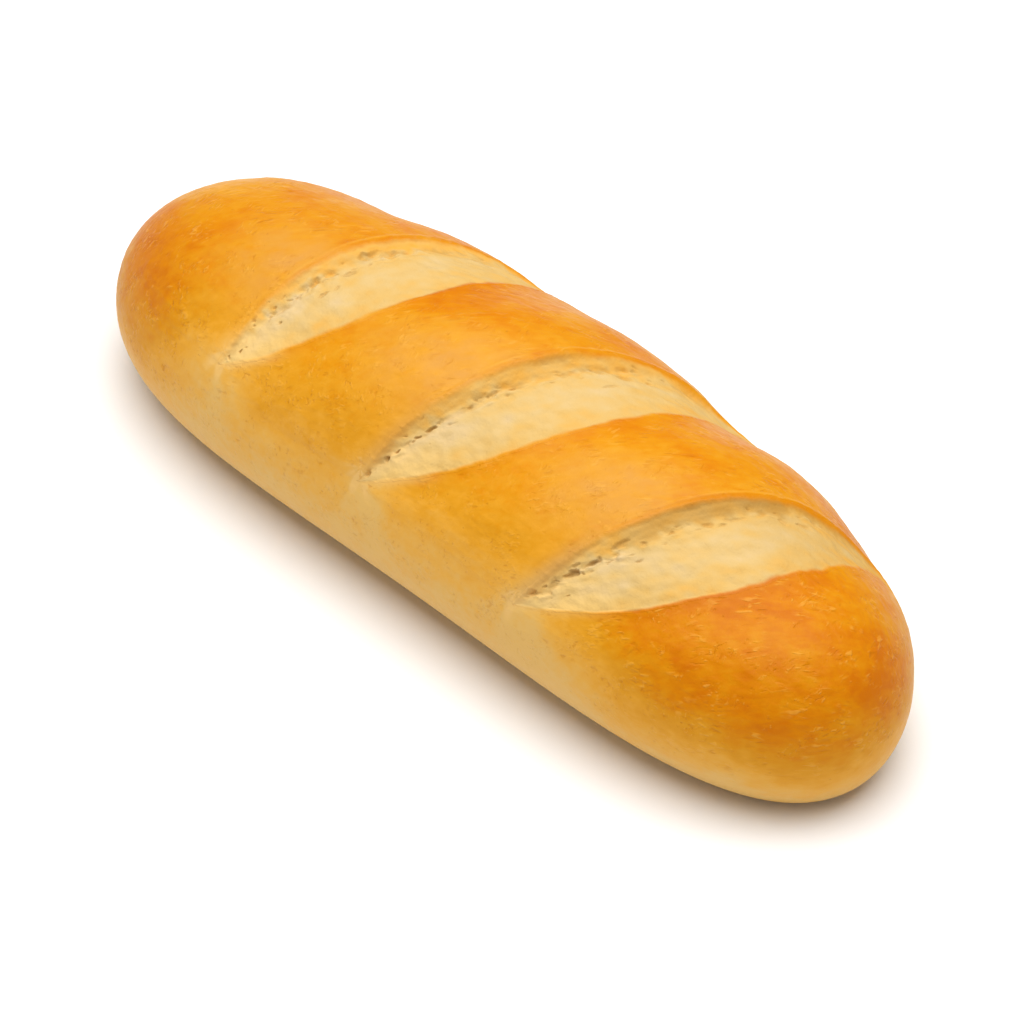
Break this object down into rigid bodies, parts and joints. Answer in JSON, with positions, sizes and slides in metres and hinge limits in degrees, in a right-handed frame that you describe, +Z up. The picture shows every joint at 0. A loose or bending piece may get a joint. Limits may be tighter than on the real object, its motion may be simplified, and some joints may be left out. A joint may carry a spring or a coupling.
{
  "type": "bread loaf",
  "caption": "Long white bread loaf with a smooth golden crust, rounded ends, a flat base and slanting cuts across the top that opened in the oven.",
  "frame": {"origin": "on the table, under the middle of the loaf", "axes": "+X along the loaf, +Z up, -Y on the side where the cuts' near tips are"},
  "size_m": [0.29, 0.1001, 0.0734],
  "materials": {
    "crust": "satin golden-brown baked crust, paler low on the sides and deeper orange at the ends and along the cuts",
    "crumb": "matt cream torn crumb in the open cuts"
  },
  "bodies": {
    "root": {"loaf": "crust"}
  },
  "joints": []
}
